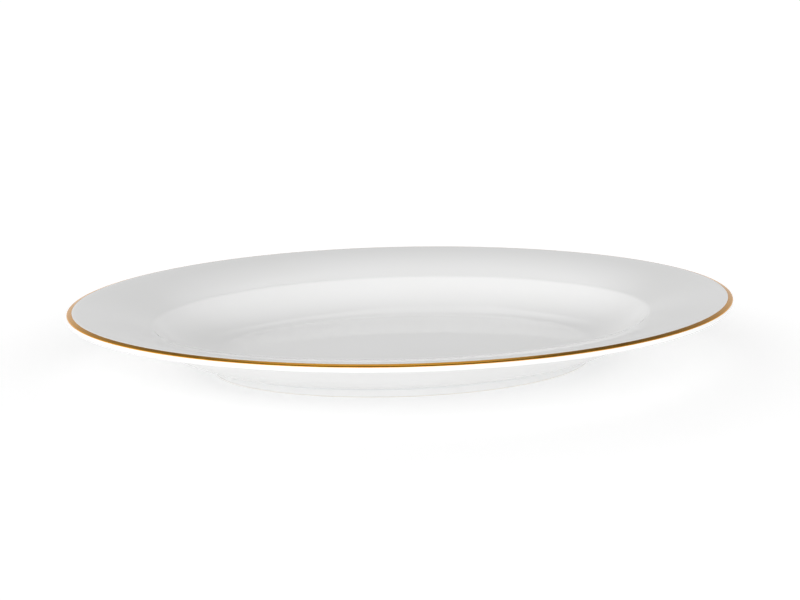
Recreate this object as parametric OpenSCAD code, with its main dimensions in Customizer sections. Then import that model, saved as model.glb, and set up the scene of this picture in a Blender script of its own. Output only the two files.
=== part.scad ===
// Oval china serving platter: a wide flat rim, a shallow well, a foot ring and a gilt line round the lip.
// The origin is the middle of the plane that it rests on. X is the long axis, Y the short axis, Z is up.
// Each piece is a profile, drawn over the long axis and carried round the ovals of the plan.

/* [Platter] */
// Overall length, lip to lip
platter_length = 350; // [320:5:380]
// Overall width, lip to lip
platter_width = 280; // [270:1:290]
// Height of the rim's crest above the table
platter_height = 33; // [31:0.5:37]
// How far the oval is drawn in between its ends and its sides, as a share of its size
drawn_in = 0.007; // [0:0.001:0.02]

/* [Rim] */
// Plan width of the rim over the long axis, from the crest in to the shoulder
rim_width = 40; // [38:1:44]
// Rise of the rim from the shoulder to the crest
rim_rise = 8.4; // [7:0.2:10]
// Height of the bend in the middle of the rim above a straight line
rim_arch = 1.6; // [1.2:0.1:1.8]
// Thickness of the china under the middle of the rim
rim_thickness = 4.3; // [4:0.1:4.6]
// Thickness of the china at the lip
lip_thickness = 3.5; // [3.2:0.1:4]

/* [Lip] */
// Plan width of the lip's rolled-off top, outside the crest
roll_width = 3.6; // [3:0.1:4]
// How far the rolled-off top drops from the crest to the outer edge
roll_drop = 1; // [0.6:0.1:1.4]
// Radius that rounds the crest
crest_radius = 5; // [3:0.5:6]
// Radius that rounds the outer edge
edge_radius = 1.3; // [1:0.1:1.5]

/* [Well] */
// Half width of the well and the foot, as a share of their half length
well_ratio = 0.7245; // [0.7:0.0005:0.75]
// Height of the floor's top above the table
floor_height = 8.7; // [8.4:0.1:9]
// Slope of the well's wall where it is steepest, in degrees
wall_slope = 40; // [39:0.5:41]
// Thickness of the wall
wall_thickness = 4.6; // [4.3:0.1:5]
// Radius of the hollow curve between floor and wall
cove_radius = 53; // [44:1:56]
// Radius of the rounded shoulder between wall and rim
shoulder_radius = 6; // [3:0.5:8]

/* [Foot] */
// Plan distance from the edge of the floor in to the foot ring's outer face
foot_inset = 13; // [12.6:0.2:14]
// Height of the foot ring's outer face
foot_face = 4.7; // [4.4:0.1:4.9]
// How far the foot ring's outer face leans out towards its top
foot_lean = 0.8; // [0.4:0.1:1.2]
// Width of the foot ring where it rests
foot_width = 4.4; // [4:0.2:5]
// Depth of the recess inside the foot ring
recess_depth = 4.4; // [4:0.1:4.6]
// Slope of the underside where it meets the foot ring, in degrees
foot_rise = 7; // [6.6:0.2:8]
// Radius of the rounded belly between the foot ring and the wall's outside
belly_radius = 50; // [42:1:52]
// Radius that blends the wall's outside into the rim's underside
blend_radius = 12; // [6:1:14]

/* [Finish] */
// Thickness of the glaze
glaze = 0.2; // [0.1:0.05:0.3]
// Thickness of the gold
gilding = 0.05; // [0.03:0.01:0.08]

/* [Detail] */
// Segments round the oval
segments = 64; // [48:8:72]

/* [Hidden] */

half_length = platter_length / 2;
half_width = platter_width / 2;

// Face of the platter, as corners [half length, height] of the profile
crest_length = half_length - roll_width;
shoulder = [crest_length - rim_width, platter_height - rim_rise];
inner_slope = atan((rim_rise / 2 + rim_arch) / (rim_width / 2));
outer_slope = atan((rim_rise / 2 - rim_arch) / (rim_width / 2));
roll_slope = atan(roll_drop / roll_width);
crest_lift = crest_radius * (cos((outer_slope - roll_slope) / 2) / cos((outer_slope + roll_slope) / 2) - 1);
crest = [crest_length, platter_height + crest_lift];
rim_middle = (shoulder + crest) / 2 + [0, rim_arch];
rim_curve_radius = 200;
floor_edge = [shoulder.x - (shoulder.y - floor_height) / tan(wall_slope), floor_height];
edge_top = [half_length, platter_height - roll_drop];

// Back of the platter
edge_bottom = [half_length, edge_top.y - lip_thickness + roll_drop / 2];
under_middle = rim_middle - [0, rim_thickness];
under_curve_radius = 140;
mean_slope = (wall_slope + inner_slope) / 2;
mitre = wall_thickness / cos((wall_slope - inner_slope) / 2);
under_shoulder = shoulder + mitre * [sin(mean_slope), -cos(mean_slope)];
foot_half_length = floor_edge.x - foot_inset;
foot_top = [foot_half_length + foot_lean, foot_face];
span = under_shoulder - foot_top;
belly_run = (span.y - span.x * tan(wall_slope)) / (tan(foot_rise) - tan(wall_slope));
belly = foot_top + belly_run * [1, tan(foot_rise)];
foot_outside = [foot_half_length, 0];
foot_inside = [foot_half_length - foot_width, 0];
recess_edge = [foot_inside.x - foot_lean, recess_depth];
foot_root_radius = 1.6;
foot_edge_radius = 0.8;
recess_radius = 1.6;

// Where the gold starts and how far it reaches, in points of the lip's curve
gilt_start = 4;
gilt_points = 3;

function unit(v) = v / norm(v);
function turned(v, angle) = [v.x * cos(angle) - v.y * sin(angle), v.x * sin(angle) + v.y * cos(angle)];
function backwards(list) = [for (i = [len(list) - 1:-1:0]) list[i]];
function part_of(list, first, last) = [for (i = [first:last]) list[i]];

// Arc of a radius, in steps, that rounds corner b on the way from a to c
function rounded(a, b, c, radius, steps) =
    let (
        back = unit(a - b),
        on = unit(c - b),
        half_angle = acos(back * on) / 2,
        centre = b + unit(back + on) * radius / sin(half_angle),
        start = b + back * radius / tan(half_angle) - centre,
        turn = sign(cross(b - a, c - b)) * (180 - 2 * half_angle)
    )
    [for (i = [0:steps]) centre + turned(start, turn * i / steps)];

// Glazed outline of the section, from the middle of the floor over the lip to the middle of the underside.
// The last number of each arc is its count of steps.
face = concat(
    [[0, floor_height], [floor_edge.x / 2, floor_height]],
    rounded([0, floor_height], floor_edge, shoulder, cove_radius, 7),
    rounded(floor_edge, shoulder, rim_middle, shoulder_radius, 3),
    rounded(shoulder, rim_middle, crest, rim_curve_radius, 2)
);
lip = concat(
    rounded(rim_middle, crest, edge_top, crest_radius, 5),
    rounded(crest, edge_top, edge_bottom, edge_radius, 4),
    rounded(edge_top, edge_bottom, under_middle, edge_radius, 3)
);
back = concat(
    rounded(edge_bottom, under_middle, under_shoulder, under_curve_radius, 2),
    rounded(under_middle, under_shoulder, belly, blend_radius, 3),
    rounded(under_shoulder, belly, foot_top, belly_radius, 6),
    rounded(belly, foot_top, foot_outside, foot_root_radius, 2)
);
foot = concat(
    rounded(foot_top, foot_outside, foot_inside, foot_edge_radius, 3),
    rounded(foot_outside, foot_inside, recess_edge, foot_edge_radius, 3)
);
recess = concat(
    rounded(foot_inside, recess_edge, [0, recess_depth], recess_radius, 3),
    [[0, recess_depth]]
);
outline = concat(face, lip, back, foot, recess);

// The foot's resting face and its two rounded edges are bare china
bare_from = len(face) + len(lip) + len(back) + 1;
bare_to = bare_from + len(foot) - 3;
last_point = len(outline) - 1;

// Direction out of the china at a point of the outline
function outward(i) =
    (i == 0) ? [0, 1] :
    (i == last_point) ? [0, -1] :
    let (along = unit(outline[i + 1] - outline[i - 1])) [-along.y, along.x];
function coat(i) = (i >= bare_from && i <= bare_to) ? 0 : glaze;
biscuit = [for (i = [0:last_point]) outline[i] - outward(i) * coat(i)];

// Gold lies over the glaze from just outside the crest to the outer edge
gilt_from = len(face) + gilt_start;
gilt_to = gilt_from + gilt_points;
gold_top = [for (i = [gilt_from:gilt_to])
    outline[i] + outward(i) * ((i == gilt_from || i == gilt_to) ? 0 : gilding)];

// Half width of the oval with half length a. Ovals inside the shoulder keep the well's proportions, the rim
// is nearly as wide at the sides as at the ends, and the one rule runs softly into the other.
rim_gain = (half_width - well_ratio * half_length) / (half_length - shoulder.x);
soft = 12;
function half_width_at(a) =
    let (out = a - shoulder.x, share = max(0, (out + soft) / (2 * soft)))
    well_ratio * a + rim_gain * ((out > soft) ? out : soft * share * share);

// Oval of the plan through a point of a profile
function oval(p) = [
    for (i = [0:segments - 1])
        let (t = 360 * i / segments, size = p.x * (1 - drawn_in * pow(sin(2 * t), 2)))
        [size * cos(t), size * half_width_at(p.x) / p.x * sin(t), p.y]
];
function next(i) = (i + 1) % segments;

// Triangles between two neighbouring ovals, whose points start at number a and number b
function band(a, b) = [
    for (i = [0:segments - 1]) each [[a + i, a + next(i), b + next(i)], [a + i, b + next(i), b + i]]
];

// Solid of a profile that starts and ends on the vertical axis
module turned_solid(profile) {
    last = len(profile) - 1;
    rows = [for (k = [1:last - 1]) each oval(profile[k])];
    low = (last - 1) * segments;
    top_pole = low;
    end_pole = low + 1;
    points = concat(rows, [[0, 0, profile[0].y], [0, 0, profile[last].y]]);
    faces = concat(
        [for (i = [0:segments - 1]) [top_pole, next(i), i]],
        [for (k = [0:last - 3]) each band(k * segments, (k + 1) * segments)],
        [for (i = [0:segments - 1]) [end_pole, low - segments + i, low - segments + next(i)]]
    );
    polyhedron(points, faces, convexity = 6);
}

// Hoop of a closed profile that stays clear of the axis
module hoop(profile) {
    count = len(profile);
    points = [for (p = profile) each oval(p)];
    faces = [for (k = [0:count - 1]) each band(k * segments, ((k + 1) % count) * segments)];
    polyhedron(points, faces, convexity = 6);
}

// Fired china in one piece: floor, wall, rim, lip and foot ring
module china_body() {
    color("ivory") turned_solid(biscuit);
}

// Glaze over the face, round the lip and down the back to the foot ring's outer edge
module outer_glaze() {
    color("white") turned_solid(concat(
        part_of(outline, 0, bare_from),
        backwards(part_of(biscuit, 0, bare_from - 1))
    ));
}

// Glaze inside the foot ring
module recess_glaze() {
    color("whitesmoke") turned_solid(concat(
        backwards(part_of(biscuit, bare_to, last_point)),
        part_of(outline, bare_to + 1, last_point)
    ));
}

// Gold line fired on the glaze, round the rolled-off top of the lip
module gilt_line() {
    color("goldenrod") hoop(concat(gold_top, backwards(part_of(outline, gilt_from + 1, gilt_to - 1))));
}

china_body();
outer_glaze();
recess_glaze();
gilt_line();
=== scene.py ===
"""Oval china serving platter: white glazed porcelain with one fired gold line round its lip.

The whole shape is one section over the long axis, carried round the ovals of the plan by Geometry Nodes.
The section is drawn in millimetres and the pieces are in metres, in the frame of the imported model.
"""

import logging
import math
from dataclasses import dataclass
from enum import Enum
from functools import cached_property

import bpy
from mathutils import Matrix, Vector


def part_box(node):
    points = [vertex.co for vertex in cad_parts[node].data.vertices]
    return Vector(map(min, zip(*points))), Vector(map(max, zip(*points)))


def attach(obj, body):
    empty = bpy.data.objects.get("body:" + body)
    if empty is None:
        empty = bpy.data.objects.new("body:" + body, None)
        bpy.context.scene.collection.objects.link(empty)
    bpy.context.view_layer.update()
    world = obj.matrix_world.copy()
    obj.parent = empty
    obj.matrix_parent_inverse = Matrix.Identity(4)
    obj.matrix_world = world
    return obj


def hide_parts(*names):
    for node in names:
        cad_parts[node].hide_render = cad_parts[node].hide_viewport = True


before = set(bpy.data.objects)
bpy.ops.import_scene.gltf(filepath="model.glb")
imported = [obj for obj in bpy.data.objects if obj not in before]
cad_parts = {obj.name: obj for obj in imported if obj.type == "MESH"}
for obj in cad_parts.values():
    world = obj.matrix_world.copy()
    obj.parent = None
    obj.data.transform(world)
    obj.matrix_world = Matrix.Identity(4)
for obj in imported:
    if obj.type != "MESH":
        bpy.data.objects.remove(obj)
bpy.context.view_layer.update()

MM = 0.001
log = logging.getLogger("platter")


# ---------------------------------------------------------------------------------------------------------
# Small helpers
# ---------------------------------------------------------------------------------------------------------


def linear(hex_colour: str) -> tuple[float, float, float, float]:
    """Turn an sRGB hex colour into the linear colour that shaders take.

    Args:
        hex_colour: Six hex digits, such as "F2F1EE".

    Returns:
        Linear red, green, blue and an alpha of 1.
    """
    channels = [int(hex_colour[i : i + 2], 16) / 255 for i in (0, 2, 4)]
    red, green, blue = (c / 12.92 if c <= 0.04045 else ((c + 0.055) / 1.055) ** 2.4 for c in channels)
    return red, green, blue, 1.0


def add_node(
    tree: bpy.types.NodeTree,
    kind: str,
    inputs: dict[str | int, object] | None = None,
    **settings: object,
) -> bpy.types.Node:
    """Add one node, with its settings, its values and the links into it.

    Args:
        tree: Node tree that the node goes in.
        kind: Blender's name for the node's type.
        inputs: Value or socket for each input, by the input's name or number. A socket is linked.
        **settings: Properties of the node itself, such as operation="SINE".

    Returns:
        The new node.
    """
    node = tree.nodes.new(kind)
    for name, value in settings.items():
        setattr(node, name, value)
    for key, value in (inputs or {}).items():
        if isinstance(value, bpy.types.NodeSocket):
            tree.links.new(value, node.inputs[key])
        else:
            node.inputs[key].default_value = value
    return node


def compute(tree: bpy.types.NodeTree, operation: str, a: object, b: object = 0.0) -> bpy.types.NodeSocket:
    """Add one step of arithmetic to a tree.

    Args:
        tree: Node tree that the step goes in.
        operation: Blender's name for the operation.
        a: First value or socket.
        b: Second value or socket.

    Returns:
        Socket of the result.
    """
    return add_node(tree, "ShaderNodeMath", {0: a, 1: b}, operation=operation).outputs[0]


def rounded(before: Vector, corner: Vector, after: Vector, radius: float, steps: int) -> list[Vector]:
    """Round a corner of the section with an arc.

    Args:
        before: Point that the section comes from.
        corner: The corner itself.
        after: Point that the section goes on to.
        radius: Radius of the arc.
        steps: Number of steps along the arc.

    Returns:
        Points from the arc's start to its end.
    """
    back = (before - corner).normalized()
    onward = (after - corner).normalized()
    half_angle = back.angle(onward) / 2
    centre = corner + (back + onward).normalized() * radius / math.sin(half_angle)
    start = corner + back * radius / math.tan(half_angle) - centre
    side = (corner - before).x * (after - corner).y - (corner - before).y * (after - corner).x
    turn = math.copysign(math.pi - 2 * half_angle, side)
    points = []
    for step in range(steps + 1):
        angle = turn * step / steps
        cos, sin = math.cos(angle), math.sin(angle)
        points.append(centre + Vector((start.x * cos - start.y * sin, start.x * sin + start.y * cos)))
    return points


def straight(start: Vector, end: Vector, steps: int) -> list[Vector]:
    """Points between two ends of a straight stretch, without the ends."""
    return [start.lerp(end, step / steps) for step in range(1, steps)]


# ---------------------------------------------------------------------------------------------------------
# Shape
# ---------------------------------------------------------------------------------------------------------


@dataclass(frozen=True)
class Section:
    """Section of the platter over its long axis, in millimetres, as (half length, height)."""

    half_length: float
    height: float
    rim_width: float = 40.0
    rim_rise: float = 8.4
    rim_arch: float = 1.6
    rim_thickness: float = 4.3
    rim_radius: float = 200.0
    lip_thickness: float = 3.5
    wall_thickness: float = 4.6
    roll_width: float = 3.6
    roll_drop: float = 1.0
    crest_radius: float = 5.0
    edge_radius: float = 1.3
    floor_height: float = 8.7
    wall_slope: float = 40.0
    cove_radius: float = 53.0
    shoulder_radius: float = 6.0
    foot_inset: float = 13.0
    foot_face: float = 4.7
    foot_lean: float = 0.8
    foot_width: float = 4.4
    foot_rise: float = 7.0
    recess_depth: float = 4.4
    under_rim_radius: float = 140.0
    blend_radius: float = 12.0
    belly_radius: float = 50.0
    root_radius: float = 1.6
    foot_edge_radius: float = 0.8
    recess_radius: float = 1.6
    glaze: float = 0.2
    gilding: float = 0.05

    @property
    def shoulder(self) -> Vector:
        """Corner between the well's wall and the rim."""
        return Vector((self.half_length - self.roll_width - self.rim_width, self.height - self.rim_rise))

    @cached_property
    def crest(self) -> Vector:
        """Corner above the rim's crest, so placed that the arc rounding it tops out at the full height."""
        rise = math.atan2(self.rim_rise / 2 - self.rim_arch, self.rim_width / 2)
        fall = math.atan2(self.roll_drop, self.roll_width)
        lift = self.crest_radius * (math.cos((rise - fall) / 2) / math.cos((rise + fall) / 2) - 1)
        return Vector((self.half_length - self.roll_width, self.height + lift))

    @property
    def rim_middle(self) -> Vector:
        """Corner of the bend in the middle of the rim."""
        return (self.shoulder + self.crest) / 2 + Vector((0, self.rim_arch))

    @property
    def floor_edge(self) -> Vector:
        """Corner between the floor and the well's wall."""
        wall_length = (self.shoulder.y - self.floor_height) / math.tan(math.radians(self.wall_slope))
        return Vector((self.shoulder.x - wall_length, self.floor_height))

    @cached_property
    def face(self) -> list[Vector]:
        """Glazed face, from the middle of the floor to just short of the crest."""
        middle = Vector((0.0, self.floor_height))
        cove = rounded(middle, self.floor_edge, self.shoulder, self.cove_radius, 22)
        shoulder = rounded(self.floor_edge, self.shoulder, self.rim_middle, self.shoulder_radius, 12)
        rim = rounded(self.shoulder, self.rim_middle, self.crest, self.rim_radius, 10)
        return [middle, *straight(middle, cove[0], 6), *cove, *shoulder, *rim]

    @cached_property
    def crest_arc(self) -> list[Vector]:
        """Arc over the crest."""
        return rounded(self.rim_middle, self.crest, self.edge_top, self.crest_radius, 15)

    @property
    def edge_top(self) -> Vector:
        """Corner where the rolled-off top meets the outer edge."""
        return Vector((self.half_length, self.height - self.roll_drop))

    @property
    def edge_bottom(self) -> Vector:
        """Corner where the outer edge meets the back."""
        return self.edge_top - Vector((0, self.lip_thickness - self.roll_drop / 2))

    @cached_property
    def edge_arc(self) -> list[Vector]:
        """Arc from the rolled-off top into the outer edge."""
        return rounded(self.crest, self.edge_top, self.edge_bottom, self.edge_radius, 12)

    @property
    def foot_half_length(self) -> float:
        """Half length of the foot ring's outer face where it rests."""
        return self.floor_edge.x - self.foot_inset

    @property
    def foot_top(self) -> Vector:
        """Corner between the foot ring's outer face and the belly."""
        return Vector((self.foot_half_length + self.foot_lean, self.foot_face))

    @cached_property
    def back(self) -> list[Vector]:
        """Glazed back, from under the lip to the foot ring's outer face."""
        rim_slope = math.atan2(self.rim_rise / 2 + self.rim_arch, self.rim_width / 2)
        wall_slope = math.radians(self.wall_slope)
        middle, half = (wall_slope + rim_slope) / 2, (wall_slope - rim_slope) / 2
        reach = self.wall_thickness / math.cos(half)
        under = self.shoulder + Vector((math.sin(middle), -math.cos(middle))) * reach
        under_rim = self.rim_middle - Vector((0, self.rim_thickness))
        rise, fall = math.tan(math.radians(self.foot_rise)), math.tan(wall_slope)
        span = under - self.foot_top
        along = (span.y - span.x * fall) / (rise - fall)
        wall_bottom = self.foot_top + Vector((along, along * rise))
        foot_outside = Vector((self.foot_half_length, 0))
        lip = rounded(self.edge_top, self.edge_bottom, under_rim, self.edge_radius, 12)
        bend = rounded(self.edge_bottom, under_rim, under, self.under_rim_radius, 8)
        blend = rounded(under_rim, under, wall_bottom, self.blend_radius, 10)
        belly = rounded(under, wall_bottom, self.foot_top, self.belly_radius, 18)
        root = rounded(wall_bottom, self.foot_top, foot_outside, self.root_radius, 6)
        return [*lip, *bend, *blend, *belly, *root]

    @cached_property
    def foot(self) -> list[Vector]:
        """Foot ring's two rounded edges, with the flat resting face between them."""
        outside = Vector((self.foot_half_length, 0))
        inside = Vector((self.foot_half_length - self.foot_width, 0))
        return [
            *rounded(self.foot_top, outside, inside, self.foot_edge_radius, 8),
            *rounded(outside, inside, self.recess_edge, self.foot_edge_radius, 8),
        ]

    @property
    def recess_edge(self) -> Vector:
        """Corner between the foot ring's inner face and the underside of the floor."""
        return Vector((self.foot_half_length - self.foot_width - self.foot_lean, self.recess_depth))

    @cached_property
    def recess(self) -> list[Vector]:
        """Glazed underside of the floor, in to its middle."""
        inside = Vector((self.foot_half_length - self.foot_width, 0))
        middle = Vector((0, self.recess_depth))
        corner = rounded(inside, self.recess_edge, middle, self.recess_radius, 8)
        return [*corner, *straight(corner[-1], middle, 5), middle]

    @cached_property
    def outline(self) -> list[Vector]:
        """Whole glazed outline, from the middle of the floor over the lip to the middle of the recess."""
        return [*self.face, *self.crest_arc, *self.edge_arc, *self.back, *self.foot, *self.recess]

    @property
    def bare(self) -> range:
        """Points of the outline that carry no glaze: the foot's resting face and most of its edges."""
        start = len(self.outline) - len(self.recess) - len(self.foot)
        return range(start + 3, start + len(self.foot) - 3)

    @property
    def gilt(self) -> range:
        """Points of the outline under the gold, from just outside the crest on to the outer edge."""
        start, end = len(self.face) + 13, len(self.face) + len(self.crest_arc) + 8
        return range(start, end)

    def outward(self, index: int) -> Vector:
        """Direction out of the china at a point of the outline."""
        if index in (0, len(self.outline) - 1):
            return Vector((0, 1 if index == 0 else -1))
        along = (self.outline[index + 1] - self.outline[index - 1]).normalized()
        return Vector((-along.y, along.x))

    @cached_property
    def biscuit(self) -> list[Vector]:
        """Surface of the fired china under its glaze, point by point with the outline."""
        return [
            point - self.outward(i) * (0 if i in self.bare else self.glaze)
            for i, point in enumerate(self.outline)
        ]

    def outer_glaze(self) -> list[Vector]:
        """Closed section of the glaze over the face, the lip and the back."""
        end = self.bare.start
        return [*self.outline[: end + 1], *reversed(self.biscuit[:end])]

    def recess_glaze(self) -> list[Vector]:
        """Closed section of the glaze inside the foot ring."""
        start = self.bare.stop - 1
        return [*reversed(self.biscuit[start:]), *self.outline[start + 1 :]]

    def gold(self) -> list[Vector]:
        """Closed section of the gold line, feathered out at both edges."""
        inner = [self.outline[i] for i in self.gilt]
        outer = [self.outline[i] + self.outward(i) * self.gilding for i in self.gilt[1:-1]]
        return [inner[0], *outer, *reversed(inner)]


@dataclass(frozen=True)
class OvalPlan:
    """Rule of the ovals in plan, in millimetres, and the Geometry Nodes tree that sweeps a section round."""

    half_length: float
    half_width: float
    shoulder: float
    well_ratio: float = 0.7245
    drawn_in: float = 0.007
    soft: float = 12.0
    segments: int = 320
    weld_distance: float = 0.001
    crease_angle: float = 50.0

    def sizes(self) -> dict[str, float]:
        """Named inputs of the tree, in metres where they are lengths."""
        spare = self.half_width - self.well_ratio * self.half_length
        return {
            "Shoulder half length": self.shoulder * MM,
            "Well ratio": self.well_ratio,
            "Rim gain": spare / (self.half_length - self.shoulder),
            "Softness": self.soft * MM,
            "Drawn in": self.drawn_in,
        }

    @cached_property
    def tree(self) -> bpy.types.NodeTree:
        """Geometry Nodes tree that carries a section, drawn as a line of points, round the ovals."""
        tree = bpy.data.node_groups.new("oval_sweep", "GeometryNodeTree")
        tree.interface.new_socket("Section", in_out="INPUT", socket_type="NodeSocketGeometry")
        for name in self.sizes():
            tree.interface.new_socket(name, in_out="INPUT", socket_type="NodeSocketFloat")
        tree.interface.new_socket("Segments", in_out="INPUT", socket_type="NodeSocketInt")
        tree.interface.new_socket("Finish", in_out="INPUT", socket_type="NodeSocketMaterial")
        tree.interface.new_socket("Piece", in_out="OUTPUT", socket_type="NodeSocketGeometry")
        given = add_node(tree, "NodeGroupInput").outputs

        def sum_of(operation: str, a: object, b: object = 0.0) -> bpy.types.NodeSocket:
            """One step of arithmetic in this tree, as the socket of its result."""
            return compute(tree, operation, a, b)

        # Each row of the grid is one point of the section, and each column one direction of the plan
        columns = sum_of("ADD", given["Segments"], 1.0)
        size = add_node(tree, "GeometryNodeAttributeDomainSize", {0: given["Section"]}, component="MESH")
        grid = add_node(
            tree,
            "GeometryNodeMeshGrid",
            {"Vertices X": size.outputs["Point Count"], "Vertices Y": columns},
        )
        index = add_node(tree, "GeometryNodeInputIndex").outputs[0]
        row = sum_of("FLOOR", sum_of("DIVIDE", sum_of("ADD", index, 0.5), columns))
        column = sum_of("SUBTRACT", index, sum_of("MULTIPLY", row, columns))
        angle = sum_of("MULTIPLY", sum_of("DIVIDE", column, given["Segments"]), math.tau)
        point = add_node(
            tree,
            "GeometryNodeSampleIndex",
            {"Geometry": given["Section"], "Index": row},
            data_type="FLOAT_VECTOR",
            domain="POINT",
        )
        tree.links.new(add_node(tree, "GeometryNodeInputPosition").outputs[0], point.inputs["Value"])
        place = add_node(tree, "ShaderNodeSeparateXYZ", {0: point.outputs["Value"]}).outputs

        # Inside the shoulder the ovals keep the well's proportions; outside it the rim widens them evenly
        out = sum_of("SUBTRACT", place["X"], given["Shoulder half length"])
        soft_start = sum_of("MULTIPLY", given["Softness"], -1.0)
        share = add_node(
            tree,
            "ShaderNodeMapRange",
            {"Value": out, "From Min": soft_start, "From Max": given["Softness"]},
        ).outputs["Result"]
        eased = sum_of("MULTIPLY", sum_of("MULTIPLY", share, share), given["Softness"])
        beyond = sum_of("MAXIMUM", sum_of("SUBTRACT", out, given["Softness"]), 0.0)
        widening = sum_of("MULTIPLY", given["Rim gain"], sum_of("ADD", eased, beyond))
        half_width = sum_of("ADD", sum_of("MULTIPLY", place["X"], given["Well ratio"]), widening)

        # The oval is drawn in a little between its ends and its sides
        quarter = sum_of("SINE", sum_of("MULTIPLY", angle, 2.0))
        draw = sum_of("MULTIPLY", sum_of("MULTIPLY", quarter, quarter), given["Drawn in"])
        scale = sum_of("SUBTRACT", 1.0, draw)
        along = sum_of("MULTIPLY", sum_of("MULTIPLY", place["X"], scale), sum_of("COSINE", angle))
        across = sum_of("MULTIPLY", sum_of("MULTIPLY", half_width, scale), sum_of("SINE", angle))
        position = add_node(tree, "ShaderNodeCombineXYZ", {"X": along, "Y": across, "Z": place["Z"]})

        place_at = {0: grid.outputs["Mesh"], "Position": position.outputs[0]}
        moved = add_node(tree, "GeometryNodeSetPosition", place_at)
        weld = {0: moved.outputs[0], "Distance": self.weld_distance * MM}
        closed = add_node(tree, "GeometryNodeMergeByDistance", weld)
        smooth = add_node(tree, "GeometryNodeSetShadeSmooth", {0: closed.outputs[0], "Shade Smooth": True})
        edge = add_node(tree, "GeometryNodeInputMeshEdgeAngle").outputs["Unsigned Angle"]
        soft_edge = sum_of("LESS_THAN", edge, math.radians(self.crease_angle))
        creased = add_node(
            tree,
            "GeometryNodeSetShadeSmooth",
            {0: smooth.outputs[0], "Shade Smooth": soft_edge},
            domain="EDGE",
        )
        real = add_node(tree, "GeometryNodeRealizeInstances", {0: creased.outputs[0]})
        dress = {0: real.outputs[0], "Material": given["Finish"]}
        dressed = add_node(tree, "GeometryNodeSetMaterial", dress)
        add_node(tree, "NodeGroupOutput", {0: dressed.outputs[0]})
        return tree

    def sweep(self, name: str, section: list[Vector], finish: bpy.types.Material) -> bpy.types.Object:
        """Carry a closed section round the ovals and turn the result into a plain mesh.

        Args:
            name: Name of the finished piece.
            section: Points in millimetres, going outward over the top of the piece.
            finish: Material of the piece.

        Returns:
            The finished piece, at the origin.
        """
        line = bpy.data.meshes.new(f"{name}_section")
        edges = [(i, i + 1) for i in range(len(section) - 1)]
        line.from_pydata([(p.x * MM, 0.0, p.y * MM) for p in section], edges, [])
        source = bpy.data.objects.new(f"{name}_source", line)
        bpy.context.scene.collection.objects.link(source)
        modifier = source.modifiers.new("oval_sweep", "NODES")
        modifier.node_group = self.tree
        values = {**self.sizes(), "Segments": self.segments, "Finish": finish}
        for socket in self.tree.interface.items_tree:
            if socket.name in values:
                modifier[socket.identifier] = values[socket.name]
        evaluated = source.evaluated_get(bpy.context.evaluated_depsgraph_get())
        mesh = bpy.data.meshes.new_from_object(evaluated)
        mesh.name = name
        piece = bpy.data.objects.new(name, mesh)
        bpy.context.scene.collection.objects.link(piece)
        source.modifiers.remove(modifier)
        bpy.data.objects.remove(source)
        bpy.data.meshes.remove(line)
        return piece


# ---------------------------------------------------------------------------------------------------------
# Finishes
# ---------------------------------------------------------------------------------------------------------


class Texture(Enum):
    """Patterns that a finish lays over a surface."""

    WAVE = "slow waviness of a fired glaze"
    PEEL = "fine orange peel of a fired glaze"
    GRAIN = "grain of bare fired china"
    STROKE = "drag of the banding brush"


@dataclass(frozen=True)
class Pattern:
    """One noise pattern on Object coordinates, at a size in millimetres."""

    texture: Texture
    size: float
    detail: float = 2.0
    stretch: tuple[float, float, float] = (1.0, 1.0, 1.0)

    def add(self, tree: bpy.types.NodeTree) -> bpy.types.NodeSocket:
        """Lay the pattern in a tree.

        Args:
            tree: Material's node tree.

        Returns:
            Socket of the pattern's strength, from 0 to 1.
        """
        place = add_node(tree, "ShaderNodeTexCoord").outputs["Object"]
        scaled = add_node(tree, "ShaderNodeMapping", {"Vector": place, "Scale": self.stretch})
        noise = add_node(
            tree,
            "ShaderNodeTexNoise",
            {"Vector": scaled.outputs[0], "Scale": 1 / (self.size * MM), "Detail": self.detail},
            label=self.texture.value,
        )
        return noise.outputs["Fac"]


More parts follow.
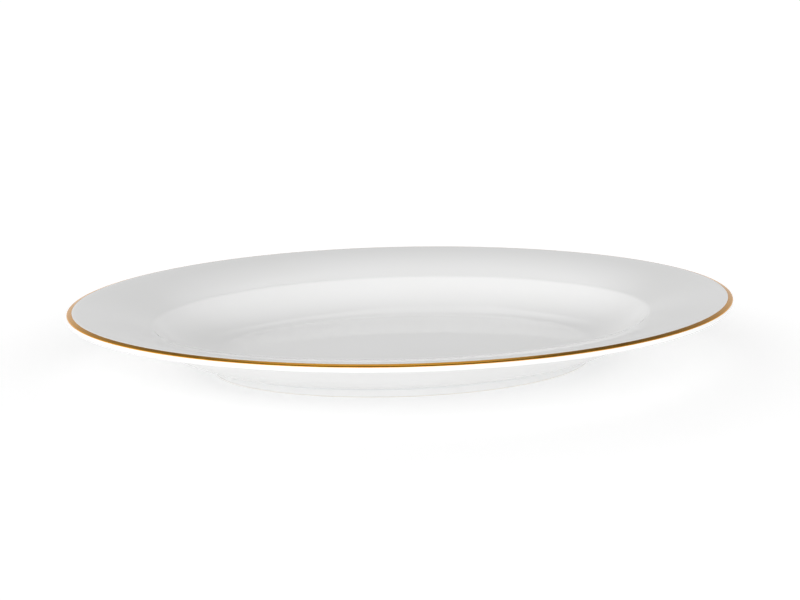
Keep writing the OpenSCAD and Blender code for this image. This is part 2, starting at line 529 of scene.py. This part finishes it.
@dataclass(frozen=True)
class PorcelainGlaze:
    """White porcelain under a clear, glossy feldspar glaze, dipped and fired.

    The body is what gives the white, and the glaze a hard mirror-like gloss over it. It runs while it is
    melted, so reflections bend a little. In the angle at the foot its colour is drawn a touch deeper and
    cooler, as painted shade in that crease.
    """

    name: str = "white_porcelain_glaze"
    white: str = "E9E9E9"
    warm: str = "E7E7E6"
    # Darker, cooler colour painted as shade in the crease above the foot ring
    painted_crease_shade: str = "E1E4E5"
    ior: float = 1.5
    roughness: float = 0.045
    rougher: float = 1.6
    # Height of the middle of the band of painted shade above the foot ring, and its half width
    foot_height: float = 5.0
    crease_shade_reach: float = 1.5
    cloud_size: float = 45.0
    gloss_size: float = 18.0
    wave_size: float = 26.0
    wave_depth: float = 0.06
    peel_size: float = 1.8
    peel_depth: float = 0.0006

    def build(self) -> bpy.types.Material:
        """Make the material."""
        material = bpy.data.materials.new(self.name)
        material.use_nodes = True
        tree = material.node_tree
        shader = tree.nodes["Principled BSDF"]
        shader.inputs["IOR"].default_value = self.ior
        cloud = Pattern(Texture.WAVE, self.cloud_size, 1.0).add(tree)
        tone = add_node(
            tree,
            "ShaderNodeMix",
            {"Factor": cloud, "A": linear(self.white), "B": linear(self.warm)},
            data_type="RGBA",
        )
        # Painted shade: a darker, cooler band in the crease above the foot ring, a few millimetres up from
        # the table
        place = add_node(tree, "ShaderNodeTexCoord").outputs["Object"]
        level = add_node(tree, "ShaderNodeSeparateXYZ", {0: place}).outputs["Z"]
        off = compute(tree, "ABSOLUTE", compute(tree, "SUBTRACT", level, self.foot_height * MM))
        crease_shade_band = add_node(
            tree,
            "ShaderNodeMapRange",
            {"Value": off, "From Min": 0.0, "From Max": self.crease_shade_reach * MM, "To Min": 1.0, "To Max": 0.0},
        )
        colour = add_node(
            tree,
            "ShaderNodeMix",
            {"Factor": crease_shade_band.outputs["Result"], "A": tone.outputs["Result"], "B": linear(self.painted_crease_shade)},
            data_type="RGBA",
        )
        tree.links.new(colour.outputs["Result"], shader.inputs["Base Color"])
        patch = Pattern(Texture.PEEL, self.gloss_size, 1.0).add(tree)
        gloss = add_node(
            tree,
            "ShaderNodeMapRange",
            {"Value": patch, "To Min": self.roughness, "To Max": self.roughness * self.rougher},
        )
        tree.links.new(gloss.outputs["Result"], shader.inputs["Roughness"])
        runs = Pattern(Texture.WAVE, self.wave_size, 0.5).add(tree)
        wave = add_node(
            tree,
            "ShaderNodeBump",
            {"Height": runs, "Strength": 1.0, "Distance": self.wave_depth * MM},
        )
        dimples = Pattern(Texture.PEEL, self.peel_size, 1.0).add(tree)
        peel = add_node(
            tree,
            "ShaderNodeBump",
            {
                "Height": dimples,
                "Strength": 1.0,
                "Distance": self.peel_depth * MM,
                "Normal": wave.outputs[0],
            },
        )
        tree.links.new(peel.outputs[0], shader.inputs["Normal"])
        return material


@dataclass(frozen=True)
class BareChina:
    """Fired porcelain with no glaze, ground flat where it rests: a fine, dry, slightly warm matt."""

    name: str = "bare_fired_china"
    body: str = "E4DED2"
    shade: str = "D3CABB"
    roughness: float = 0.62
    rougher: float = 0.15
    ior: float = 1.5
    grain_size: float = 0.6
    grain_depth: float = 0.03

    def build(self) -> bpy.types.Material:
        """Make the material."""
        material = bpy.data.materials.new(self.name)
        material.use_nodes = True
        tree = material.node_tree
        shader = tree.nodes["Principled BSDF"]
        shader.inputs["IOR"].default_value = self.ior
        # The real grain is about 0.05 mm; it is drawn larger so that it shows
        grain = Pattern(Texture.GRAIN, self.grain_size, 4.0).add(tree)
        tone = add_node(
            tree,
            "ShaderNodeMix",
            {"Factor": grain, "A": linear(self.body), "B": linear(self.shade)},
            data_type="RGBA",
        )
        tree.links.new(tone.outputs["Result"], shader.inputs["Base Color"])
        rough = add_node(
            tree,
            "ShaderNodeMapRange",
            {"Value": grain, "To Min": self.roughness, "To Max": self.roughness + self.rougher},
        )
        tree.links.new(rough.outputs["Result"], shader.inputs["Roughness"])
        relief = {"Height": grain, "Strength": 0.6, "Distance": self.grain_depth * MM}
        bump = add_node(tree, "ShaderNodeBump", relief)
        tree.links.new(bump.outputs[0], shader.inputs["Normal"])
        return material


@dataclass(frozen=True)
class FiredGold:
    """Bright gold, brushed on as a liquid on a turning wheel and fired into the glaze.

    It takes the glaze's own gloss, deepened to orange by the thinness of the film, with faint drag marks
    along the line and paler spots where the film is thin.
    """

    name: str = "fired_gold"
    deep: str = "CF8A1C"
    bright: str = "F0B23A"
    roughness: float = 0.16
    rougher: float = 0.12
    drag_size: float = 7.0
    drag_squeeze: float = 8.0
    drag_depth: float = 0.01

    def build(self) -> bpy.types.Material:
        """Make the material."""
        material = bpy.data.materials.new(self.name)
        material.use_nodes = True
        tree = material.node_tree
        shader = tree.nodes["Principled BSDF"]
        shader.inputs["Metallic"].default_value = 1.0
        drag = Pattern(Texture.STROKE, self.drag_size, 3.0, (1.0, 1.0, self.drag_squeeze)).add(tree)
        tone = add_node(
            tree,
            "ShaderNodeMix",
            {"Factor": drag, "A": linear(self.deep), "B": linear(self.bright)},
            data_type="RGBA",
        )
        tree.links.new(tone.outputs["Result"], shader.inputs["Base Color"])
        rough = add_node(
            tree,
            "ShaderNodeMapRange",
            {"Value": drag, "To Min": self.roughness, "To Max": self.roughness + self.rougher},
        )
        tree.links.new(rough.outputs["Result"], shader.inputs["Roughness"])
        relief = {"Height": drag, "Strength": 0.5, "Distance": self.drag_depth * MM}
        bump = add_node(tree, "ShaderNodeBump", relief)
        tree.links.new(bump.outputs[0], shader.inputs["Normal"])
        return material


# ---------------------------------------------------------------------------------------------------------
# The platter
# ---------------------------------------------------------------------------------------------------------


@dataclass(frozen=True)
class Coat:
    """One separate piece of the platter: its section, its finish, and the CAD node that it stands for."""

    name: str
    node: str
    slot: str
    section: list[Vector]
    finish: bpy.types.Material

    def make(self, plan: OvalPlan) -> bpy.types.Object:
        """Build the piece, dress it and tell the frame about it.

        Args:
            plan: Ovals that the section goes round.

        Returns:
            The finished piece.
        """
        piece = plan.sweep(self.name, self.section, self.finish)
        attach(piece, "root")
        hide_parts(self.node)
        log.info("%s: %d faces, stands for %s", piece.name, len(piece.data.polygons), self.node)
        return piece


@dataclass
class Platter:
    """The whole platter: china body, two coats of glaze and the gold line."""

    section: Section
    plan: OvalPlan

    @classmethod
    def from_frame(cls) -> "Platter":
        """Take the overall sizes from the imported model."""
        _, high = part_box("outer_glaze")
        section = Section(half_length=high.x / MM, height=high.z / MM)
        plan = OvalPlan(section.half_length, high.y / MM, section.shoulder.x)
        return cls(section, plan)

    def build(self) -> list[bpy.types.Object]:
        """Build every piece.

        Returns:
            The finished pieces.
        """
        shape = self.section
        glaze = PorcelainGlaze().build()
        coats = [
            Coat("fired_body", "china_body", "bare_china", shape.biscuit, BareChina().build()),
            Coat("glaze_over_face_and_back", "outer_glaze", "white_glaze", shape.outer_glaze(), glaze),
            Coat("glaze_in_foot_recess", "recess_glaze", "white_glaze", shape.recess_glaze(), glaze),
            Coat("gold_lip_line", "gilt_line", "fired_gold", shape.gold(), FiredGold().build()),
        ]
        return [coat.make(self.plan) for coat in coats]


# ---------------------------------------------------------------------------------------------------------
# Studio
# ---------------------------------------------------------------------------------------------------------


@dataclass(frozen=True)
class Wall:
    """One side of the room: its glow runs from the horizon over a bright line and a knee to 0 at its top."""

    direction: float
    horizon: float
    bright: float
    knee: float
    knee_height: float
    top: float


@dataclass(frozen=True)
class Room:
    """Light of the room round the platter, by direction and by height above the horizon, in degrees.

    Directions count both ways from straight behind the platter (0) to the camera's own side (180). One panel
    hangs behind the platter, and the well mirrors it as a bright band. Each pair of ends is where a fade is
    at 0 and where it is at 1.
    """

    behind: Wall = Wall(18.0, horizon=0.85, bright=0.85, knee=0.10, knee_height=34.0, top=56.0)
    corner: Wall = Wall(50.0, horizon=0.95, bright=1.10, knee=0.50, knee_height=24.0, top=75.0)
    side: Wall = Wall(110.0, horizon=1.05, bright=2.15, knee=1.05, knee_height=34.0, top=90.0)
    front: Wall = Wall(180.0, horizon=1.40, bright=3.70, knee=1.20, knee_height=56.0, top=90.0)
    bright_height: float = 14.0
    full_glow: float = 4.0
    panel_foot: tuple[float, float] = (26.0, 40.0)
    panel_top: tuple[float, float] = (63.0, 58.0)
    panel_side: tuple[float, float] = (12.0, 10.5)
    panel_glow: float = 0.95
    left_glow: float = 0.70
    right_glow: float = 0.22

    def wall(
        self, tree: bpy.types.NodeTree, height: bpy.types.NodeSocket, wall: Wall
    ) -> bpy.types.NodeSocket:
        """Add one wall, whose glow changes with height.

        Args:
            tree: World's node tree.
            height: Socket of the height in degrees.
            wall: The wall.

        Returns:
            Socket of the glow, as a share of the full glow.
        """
        ramp = add_node(tree, "ShaderNodeValToRGB", {"Fac": compute(tree, "DIVIDE", height, 90.0)})
        stops = ramp.color_ramp.elements
        stops.remove(stops[1])
        stops[0].position = 0.0
        stops[0].color = (*[wall.horizon / self.full_glow] * 3, 1.0)
        steps = [(self.bright_height, wall.bright), (wall.knee_height, wall.knee), (wall.top, 0.0)]
        for level, glow in steps:
            stops.new(level / 90.0).color = (*[glow / self.full_glow] * 3, 1.0)
        return ramp.outputs["Color"]

    def fade(
        self, tree: bpy.types.NodeTree, value: bpy.types.NodeSocket, ends: tuple[float, float]
    ) -> bpy.types.NodeSocket:
        """Add a fade of a value, from 0 at the first end to 1 at the second."""
        inputs = {"Value": value, "From Min": ends[0], "From Max": ends[1]}
        return add_node(tree, "ShaderNodeMapRange", inputs).outputs["Result"]

    def build(self, azimuth: float) -> None:
        """Light the world.

        Args:
            azimuth: The camera's azimuth, in degrees.
        """
        world = bpy.data.worlds.new("studio")
        bpy.context.scene.world = world
        world.use_nodes = True
        tree = world.node_tree
        tree.nodes.clear()
        towards = add_node(tree, "ShaderNodeTexCoord").outputs["Generated"]
        facing = add_node(
            tree,
            "ShaderNodeVectorRotate",
            {"Vector": towards, "Angle": math.radians(-azimuth)},
            rotation_type="Z_AXIS",
        )
        ahead = add_node(tree, "ShaderNodeSeparateXYZ", {0: facing.outputs[0]}).outputs
        height = compute(tree, "DEGREES", compute(tree, "ARCSINE", ahead["Z"]))
        turn = compute(tree, "DEGREES", compute(tree, "ARCTAN2", ahead["X"], ahead["Y"]))
        away = compute(tree, "ABSOLUTE", turn)
        walls = [self.behind, self.corner, self.side, self.front]
        glow = self.wall(tree, height, walls[0])
        for last, wall in zip(walls, walls[1:]):
            share = self.fade(tree, away, (last.direction, wall.direction))
            inputs = {"Factor": share, "A": glow, "B": self.wall(tree, height, wall)}
            glow = add_node(tree, "ShaderNodeMix", inputs, data_type="RGBA").outputs["Result"]
        panel = compute(tree, "MULTIPLY", self.fade(tree, height, self.panel_foot), self.panel_glow)
        panel = compute(tree, "MULTIPLY", panel, self.fade(tree, height, self.panel_top))
        panel = compute(tree, "MULTIPLY", panel, self.fade(tree, away, self.panel_side))
        right = compute(tree, "MULTIPLY", compute(tree, "MAXIMUM", ahead["X"], 0.0), self.right_glow)
        left = compute(tree, "MULTIPLY", compute(tree, "MINIMUM", ahead["X"], 0.0), -self.left_glow)
        level = compute(tree, "MULTIPLY", glow, self.full_glow)
        for extra in (panel, right, left):
            level = compute(tree, "ADD", level, extra)
        sky = add_node(tree, "ShaderNodeBackground", {"Strength": level})
        add_node(tree, "ShaderNodeOutputWorld", {"Surface": sky.outputs[0]})


@dataclass(frozen=True)
class Studio:
    """Lit white table, soft room and the camera, in metres and degrees from the platter's middle."""

    focus_height: float
    azimuth: float = -17.11
    elevation: float = 12.47
    distance: float = 1.75
    lens: float = 152.35
    shift_x: float = -0.0042
    shift_y: float = 0.0005
    # Glow of the table near the platter and far from it; the dimmer glow near it is a painted contact shadow
    table_glow: tuple[float, float] = (0.47, 0.60)
    table_shadow_reach: tuple[float, float] = (0.10, 0.26)
    table_half_size: float = 8.0

    def add_camera(self) -> None:
        """Put the camera on its stand, looking at the middle of the rim."""
        data = bpy.data.cameras.new("camera")
        data.lens = self.lens
        data.sensor_width = 36.0
        data.shift_x = self.shift_x
        data.shift_y = self.shift_y
        data.clip_end = 50.0
        camera = bpy.data.objects.new("camera", data)
        turn, rise = math.radians(self.azimuth), math.radians(self.elevation)
        back = Vector((math.sin(turn) * math.cos(rise), -math.cos(turn) * math.cos(rise), math.sin(rise)))
        camera.location = Vector((0, 0, self.focus_height)) + back * self.distance
        camera.rotation_euler = back.to_track_quat("Z", "Y").to_euler()
        bpy.context.scene.collection.objects.link(camera)
        bpy.context.scene.camera = camera

    def add_table(self) -> None:
        """Lay a backlit sheet of white acrylic, its glow dimmed under and near the platter as a painted
        contact shadow.
        """
        material = bpy.data.materials.new("backlit_white_acrylic")
        material.use_nodes = True
        shader = material.node_tree.nodes["Principled BSDF"]
        shader.inputs["Base Color"].default_value = linear("BEBEBE")
        shader.inputs["Roughness"].default_value = 0.6
        shader.inputs["Emission Color"].default_value = linear("FFFFFF")
        tree = material.node_tree
        place = add_node(tree, "ShaderNodeTexCoord").outputs["Object"]
        # Painted contact shadow: the glow is turned down near the platter's middle and comes back up farther
        # out
        distance = add_node(tree, "ShaderNodeVectorMath", {0: place}, operation="LENGTH").outputs["Value"]
        reach = {"Value": distance, "From Min": self.table_shadow_reach[0], "From Max": self.table_shadow_reach[1]}
        glow = {"To Min": self.table_glow[0], "To Max": self.table_glow[1]}
        glow_with_painted_shadow = add_node(tree, "ShaderNodeMapRange", {**reach, **glow})
        tree.links.new(glow_with_painted_shadow.outputs["Result"], shader.inputs["Emission Strength"])
        material.cycles.emission_sampling = "NONE"
        half = self.table_half_size
        mesh = bpy.data.meshes.new("table")
        corners = [(-half, -half, 0), (half, -half, 0), (half, half, 0), (-half, half, 0)]
        mesh.from_pydata(corners, [], [(0, 1, 2, 3)])
        mesh.materials.append(material)
        table = bpy.data.objects.new("table", mesh)
        bpy.context.scene.collection.objects.link(table)

    def build(self) -> None:
        """Set out the whole studio."""
        view = bpy.context.scene.view_settings
        view.view_transform = "Standard"
        view.look = "None"
        self.add_table()
        Room().build(self.azimuth)
        self.add_camera()


def main() -> None:
    """Build the platter and its studio."""
    logging.basicConfig(level=logging.INFO, format="%(name)s: %(message)s")
    platter = Platter.from_frame()
    pieces = platter.build()
    Studio(focus_height=platter.section.height * MM).build()
    log.info("%d pieces", len(pieces))


if __name__ == "__main__":
    main()
